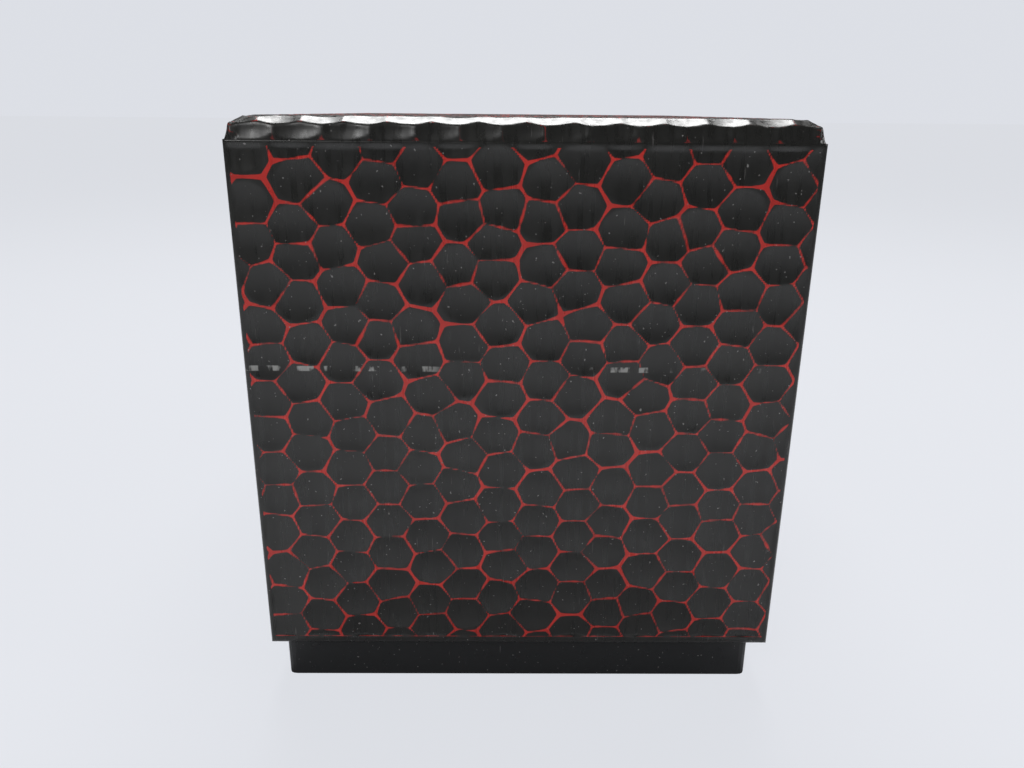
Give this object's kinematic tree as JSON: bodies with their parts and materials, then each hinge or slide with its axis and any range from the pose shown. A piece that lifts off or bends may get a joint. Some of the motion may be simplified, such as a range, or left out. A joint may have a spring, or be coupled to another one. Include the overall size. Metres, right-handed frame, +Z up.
{
  "type": "chest of drawers",
  "caption": "Small tabletop chest in carved black lacquer on a recessed plinth, with sliding drawers and hanging ring pulls",
  "frame": {"origin": "on the floor, below the middle of the whole bounding box", "axes": "+Z up, drawers open toward -Y, +X along the width; the pictured side faces -X"},
  "size_m": [0.24, 0.188, 0.1987],
  "materials": {
    "carved_lacquer": "satin black lacquer over red, carved with gouge cuts, red on the ridges",
    "plain_lacquer": "smooth satin black lacquer",
    "drawer_lacquer": "thin brown black lacquer on wood",
    "brass": "aged dark brass"
  },
  "bodies": {
    "carcase": {"left_side_board": "carved_lacquer", "right_side_board": "carved_lacquer", "top_board": "carved_lacquer", "bottom_board": "plain_lacquer", "back_panel": "plain_lacquer", "lower_shelf": "plain_lacquer", "upper_shelf": "plain_lacquer", "top_row_divider": "plain_lacquer", "plinth_front_rail": "plain_lacquer", "plinth_back_rail": "plain_lacquer", "plinth_left_rail": "plain_lacquer", "plinth_right_rail": "plain_lacquer"},
    "upper_left_drawer": {"upper_left_drawer_front": "carved_lacquer", "upper_left_drawer_left_side": "drawer_lacquer", "upper_left_drawer_right_side": "drawer_lacquer", "upper_left_drawer_back": "drawer_lacquer", "upper_left_drawer_floor": "drawer_lacquer", "upper_left_drawer_pull_rosette": "brass", "upper_left_drawer_pull_eye": "brass"},
    "upper_left_ring": {"upper_left_drawer_pull_ring": "brass"},
    "upper_right_drawer": {"upper_right_drawer_front": "carved_lacquer", "upper_right_drawer_left_side": "drawer_lacquer", "upper_right_drawer_right_side": "drawer_lacquer", "upper_right_drawer_back": "drawer_lacquer", "upper_right_drawer_floor": "drawer_lacquer", "upper_right_drawer_pull_rosette": "brass", "upper_right_drawer_pull_eye": "brass"},
    "upper_right_ring": {"upper_right_drawer_pull_ring": "brass"},
    "middle_drawer": {"middle_drawer_front": "carved_lacquer", "middle_drawer_left_side": "drawer_lacquer", "middle_drawer_right_side": "drawer_lacquer", "middle_drawer_back": "drawer_lacquer", "middle_drawer_floor": "drawer_lacquer", "middle_drawer_pull_rosette": "brass", "middle_drawer_pull_eye": "brass"},
    "middle_ring": {"middle_drawer_pull_ring": "brass"},
    "bottom_drawer": {"bottom_drawer_front": "carved_lacquer", "bottom_drawer_left_side": "drawer_lacquer", "bottom_drawer_right_side": "drawer_lacquer", "bottom_drawer_back": "drawer_lacquer", "bottom_drawer_floor": "drawer_lacquer", "bottom_drawer_pull_rosette": "brass", "bottom_drawer_pull_eye": "brass"},
    "bottom_ring": {"bottom_drawer_pull_ring": "brass"}
  },
  "joints": [
    {"name": "upper_left_drawer_slide", "type": "slide", "parent": "carcase", "child": "upper_left_drawer", "axis": [0, -1, 0], "range_m": [0, 0.15]},
    {"name": "upper_left_ring_swing", "type": "hinge", "parent": "upper_left_drawer", "child": "upper_left_ring", "pos_m": [-0.05725, -0.09065, 0.1756], "axis": [-1, 0, 0], "range_deg": [0, 150]},
    {"name": "upper_right_drawer_slide", "type": "slide", "parent": "carcase", "child": "upper_right_drawer", "axis": [0, -1, 0], "range_m": [0, 0.15]},
    {"name": "upper_right_ring_swing", "type": "hinge", "parent": "upper_right_drawer", "child": "upper_right_ring", "pos_m": [0.05725, -0.09065, 0.1756], "axis": [-1, 0, 0], "range_deg": [0, 150]},
    {"name": "middle_drawer_slide", "type": "slide", "parent": "carcase", "child": "middle_drawer", "axis": [0, -1, 0], "range_m": [0, 0.15]},
    {"name": "middle_ring_swing", "type": "hinge", "parent": "middle_drawer", "child": "middle_ring", "pos_m": [0, -0.09065, 0.1236], "axis": [-1, 0, 0], "range_deg": [0, 150]},
    {"name": "bottom_drawer_slide", "type": "slide", "parent": "carcase", "child": "bottom_drawer", "axis": [0, -1, 0], "range_m": [0, 0.15]},
    {"name": "bottom_ring_swing", "type": "hinge", "parent": "bottom_drawer", "child": "bottom_ring", "pos_m": [0, -0.09065, 0.05975], "axis": [-1, 0, 0], "range_deg": [0, 150]}
  ]
}
